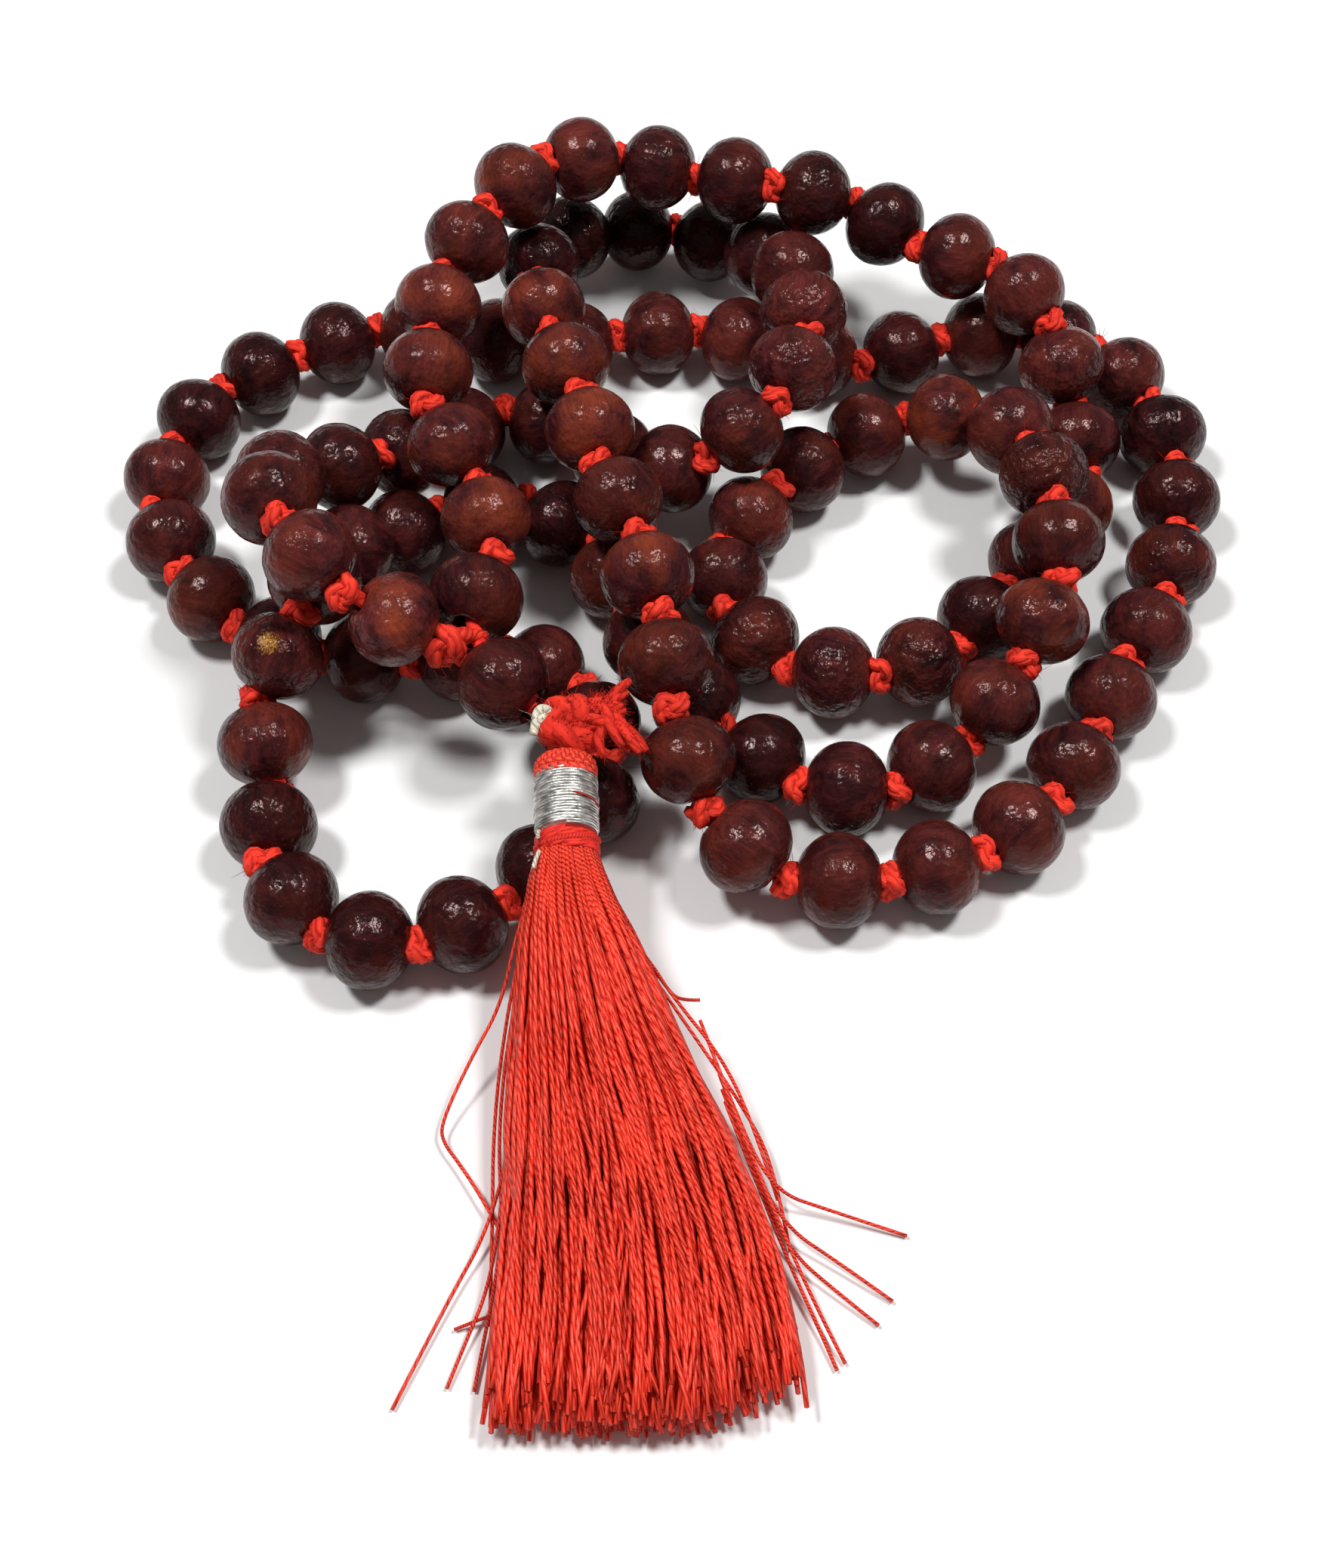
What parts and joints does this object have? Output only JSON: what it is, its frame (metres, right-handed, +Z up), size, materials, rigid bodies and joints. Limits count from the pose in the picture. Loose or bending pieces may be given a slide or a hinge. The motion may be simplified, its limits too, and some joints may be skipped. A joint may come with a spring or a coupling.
{
  "type": "mala prayer beads",
  "caption": "Closed strand of turned rosewood beads knotted on red cotton cord, with a guru bead and a red thread tassel bound in silver wire, lying in a loose heap.",
  "frame": {"origin": "Middle of the footprint, on the flat surface that the heap lies on.", "axes": "+Z up; +Y runs from the tassel's ends to the far side of the heap, the longest extent; +X to the right seen from the tassel."},
  "size_m": [0.0968, 0.1216, 0.0218],
  "materials": {
    "rosewood": "polished dark reddish-brown wood with fine pores",
    "red_cotton_cord": "matte twisted cotton",
    "red_tassel_thread": "silky twisted thread",
    "silver_metallic_thread": "fine wound metallic thread",
    "white_cotton_thread": "matte soft thread"
  },
  "bodies": {
    "strand": {"cord": "red_cotton_cord", "beads_001_to_012": "rosewood", "beads_013_to_027": "rosewood", "beads_038_to_046": "rosewood", "beads_053_to_059": "rosewood", "beads_063_to_074": "rosewood", "beads_075_to_086": "rosewood", "beads_087_to_098": "rosewood", "beads_104_to_108": "rosewood", "knots_001_to_027": "red_cotton_cord", "knots_028_to_053": "red_cotton_cord", "knots_054_to_080": "red_cotton_cord", "knots_081_to_107": "red_cotton_cord", "join_knot": "red_cotton_cord"},
    "bead_028": {"bead_028": "rosewood"},
    "bead_029": {"bead_029": "rosewood"},
    "bead_030": {"bead_030": "rosewood"},
    "bead_031": {"bead_031": "rosewood"},
    "bead_032": {"bead_032": "rosewood"},
    "bead_033": {"bead_033": "rosewood"},
    "bead_034": {"bead_034": "rosewood"},
    "bead_035": {"bead_035": "rosewood"},
    "bead_036": {"bead_036": "rosewood"},
    "bead_037": {"bead_037": "rosewood"},
    "bead_047": {"bead_047": "rosewood"},
    "bead_048": {"bead_048": "rosewood"},
    "bead_049": {"bead_049": "rosewood"},
    "bead_050": {"bead_050": "rosewood"},
    "bead_051": {"bead_051": "rosewood"},
    "bead_052": {"bead_052": "rosewood"},
    "bead_060": {"bead_060": "rosewood"},
    "bead_061": {"bead_061": "rosewood"},
    "bead_062": {"bead_062": "rosewood"},
    "bead_099": {"bead_099": "rosewood"},
    "bead_100": {"bead_100": "rosewood"},
    "bead_101": {"bead_101": "rosewood"},
    "bead_102": {"bead_102": "rosewood"},
    "bead_103": {"bead_103": "rosewood"},
    "guru_bead": {"guru_bead": "rosewood"},
    "tassel_head": {"tassel_head_knot": "red_cotton_cord", "frayed_tail": "red_cotton_cord", "core_thread_end": "white_cotton_thread"},
    "tassel": {"braided_cap": "red_tassel_thread", "silver_wire_wrap": "silver_metallic_thread", "thread_binding": "red_tassel_thread", "tassel_skirt": "red_tassel_thread"}
  },
  "joints": [
    {"name": "bead_028_spin", "type": "hinge", "parent": "strand", "child": "bead_028", "pos_m": [0.01315, -0.01728, 0.0039], "axis": [1, 0, 0], "continuous": true},
    {"name": "bead_029_spin", "type": "hinge", "parent": "strand", "child": "bead_029", "pos_m": [0.0209, -0.01603, 0.0039], "axis": [0.9487, 0.3162, 0], "continuous": true},
    {"name": "bead_030_spin", "type": "hinge", "parent": "strand", "child": "bead_030", "pos_m": [0.02765, -0.01228, 0.0039], "axis": [0.7682, 0.6402, 0], "continuous": true},
    {"name": "bead_031_spin", "type": "hinge", "parent": "strand", "child": "bead_031", "pos_m": [0.03265, -0.00628, 0.0039], "axis": [0.4961, 0.8682, 0], "continuous": true},
    {"name": "bead_032_spin", "type": "hinge", "parent": "strand", "child": "bead_032", "pos_m": [0.0364, 0.00072, 0.0039], "axis": [0.4472, 0.8944, 0], "continuous": true},
    {"name": "bead_033_spin", "type": "hinge", "parent": "strand", "child": "bead_033", "pos_m": [0.04015, 0.00772, 0.0039], "axis": [0.4961, 0.8682, 0], "continuous": true},
    {"name": "bead_034_spin", "type": "hinge", "parent": "strand", "child": "bead_034", "pos_m": [0.04315, 0.01497, 0.0039], "axis": [0.2577, 0.9662, 0], "continuous": true},
    {"name": "bead_035_spin", "type": "hinge", "parent": "strand", "child": "bead_035", "pos_m": [0.0446, 0.02247, 0.0039], "axis": [0.1191, 0.9929, 0], "continuous": true},
    {"name": "bead_036_spin", "type": "hinge", "parent": "strand", "child": "bead_036", "pos_m": [0.04435, 0.03022, 0.0039], "axis": [-0.1724, 0.985, 0], "continuous": true},
    {"name": "bead_037_spin", "type": "hinge", "parent": "strand", "child": "bead_037", "pos_m": [0.04165, 0.03747, 0.0039], "axis": [-0.5241, 0.8517, 0], "continuous": true},
    {"name": "bead_047_spin", "type": "hinge", "parent": "strand", "child": "bead_047", "pos_m": [-0.03085, 0.04197, 0.0039], "axis": [-0.8944, -0.4472, 0], "continuous": true},
    {"name": "bead_048_spin", "type": "hinge", "parent": "strand", "child": "bead_048", "pos_m": [-0.0376, 0.03797, 0.0039], "axis": [-0.8222, -0.5692, 0], "continuous": true},
    {"name": "bead_049_spin", "type": "hinge", "parent": "strand", "child": "bead_049", "pos_m": [-0.0426, 0.03222, 0.0039], "axis": [-0.4472, -0.8944, 0], "continuous": true},
    {"name": "bead_050_spin", "type": "hinge", "parent": "strand", "child": "bead_050", "pos_m": [-0.0446, 0.02497, 0.0039], "axis": [-0.0665, -0.9978, 0], "continuous": true},
    {"name": "bead_051_spin", "type": "hinge", "parent": "strand", "child": "bead_051", "pos_m": [-0.04335, 0.01772, 0.0039], "axis": [0.3939, -0.9191, 0], "continuous": true},
    {"name": "bead_052_spin", "type": "hinge", "parent": "strand", "child": "bead_052", "pos_m": [-0.0391, 0.01122, 0.0039], "axis": [0.6757, -0.7372, 0], "continuous": true},
    {"name": "bead_060_spin", "type": "hinge", "parent": "strand", "child": "bead_060", "pos_m": [-0.0161, -0.02128, 0.0039], "axis": [-0.8517, -0.5241, 0], "continuous": true},
    {"name": "bead_061_spin", "type": "hinge", "parent": "strand", "child": "bead_061", "pos_m": [-0.02315, -0.02268, 0.0039], "axis": [-0.9878, 0.156, 0], "continuous": true},
    {"name": "bead_062_spin", "type": "hinge", "parent": "strand", "child": "bead_062", "pos_m": [-0.0294, -0.01918, 0.00435], "axis": [-0.6409, 0.7586, 0.1177], "continuous": true},
    {"name": "bead_099_spin", "type": "hinge", "parent": "strand", "child": "bead_099", "pos_m": [0.006, 0.05232, 0.01425], "axis": [-0.9036, 0.3776, -0.2023], "continuous": true},
    {"name": "bead_100_spin", "type": "hinge", "parent": "strand", "child": "bead_100", "pos_m": [-0.0011, 0.05472, 0.01375], "axis": [-0.9642, 0.2571, 0.0643], "continuous": true},
    {"name": "bead_101_spin", "type": "hinge", "parent": "strand", "child": "bead_101", "pos_m": [-0.0082, 0.05397, 0.0153], "axis": [-0.8382, -0.4378, 0.3253], "continuous": true},
    {"name": "bead_102_spin", "type": "hinge", "parent": "strand", "child": "bead_102", "pos_m": [-0.01395, 0.04922, 0.0163], "axis": [-0.6228, -0.7785, -0.0779], "continuous": true},
    {"name": "bead_103_spin", "type": "hinge", "parent": "strand", "child": "bead_103", "pos_m": [-0.0181, 0.04297, 0.01525], "axis": [-0.4646, -0.8628, -0.1991], "continuous": true},
    {"name": "guru_bead_spin", "type": "hinge", "parent": "strand", "child": "guru_bead", "pos_m": [-0.01365, -0.00278, 0.0109], "axis": [0.7813, -0.6162, -0.099], "continuous": true},
    {"name": "tassel_swing", "type": "hinge", "parent": "strand", "child": "tassel_head", "pos_m": [-0.00755, -0.00698, 0.0114], "axis": [0, 0, 1], "range_deg": [-8, 8]},
    {"name": "tassel_lift", "type": "hinge", "parent": "tassel_head", "child": "tassel", "pos_m": [-0.00755, -0.00698, 0.0114], "axis": [-1, 0, 0], "range_deg": [0, 75]}
  ]
}
